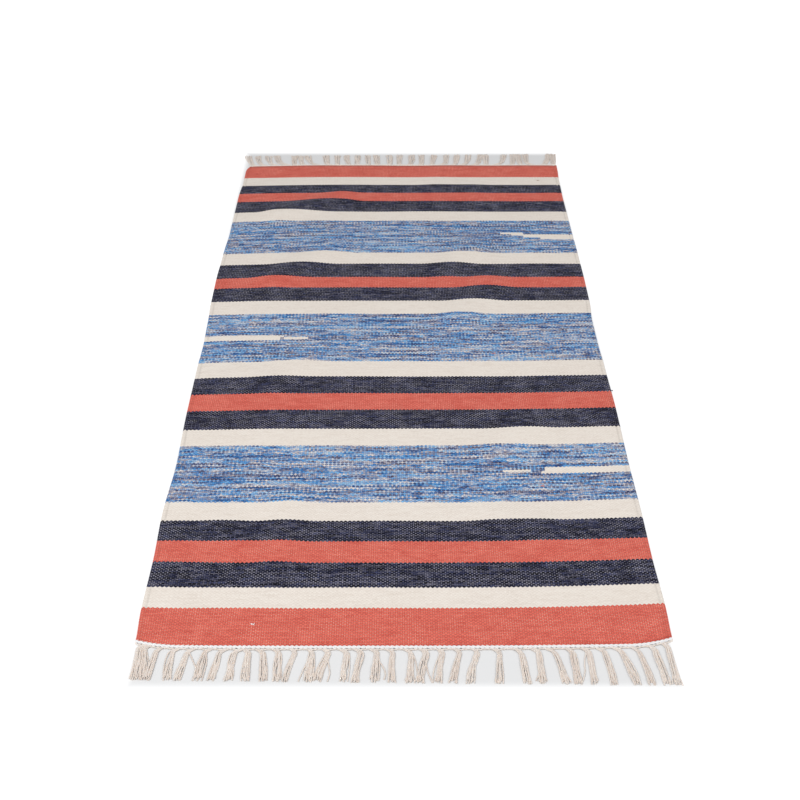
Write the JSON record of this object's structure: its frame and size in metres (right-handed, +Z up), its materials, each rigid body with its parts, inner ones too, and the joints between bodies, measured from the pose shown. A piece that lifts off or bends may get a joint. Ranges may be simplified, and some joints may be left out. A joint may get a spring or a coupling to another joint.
{
  "type": "fringed kilim rug",
  "caption": "Flat-woven striped cotton kilim with low ripples, a twined cord across each end and loose warp tassels.",
  "frame": {"origin": "centre of the part's bounding box, on the underside that lies on the floor", "axes": "+X along the weft, +Y along the warp towards the far fringe, +Z up"},
  "size_m": [0.7069, 1.5346, 0.0105],
  "materials": {
    "striped_cotton_web": "weft-faced plain weave of thick cotton, striped in coral, cream, heathered navy and mixed blue",
    "white_cotton_cord": "bright white cotton yarn twined across the warps",
    "ecru_cotton_warp": "undyed plied cotton warp yarn"
  },
  "bodies": {
    "root": {"woven_panel": "striped_cotton_web", "near_cord": "white_cotton_cord", "far_cord": "white_cotton_cord", "near_fringe": "ecru_cotton_warp", "far_fringe": "ecru_cotton_warp"}
  },
  "joints": []
}
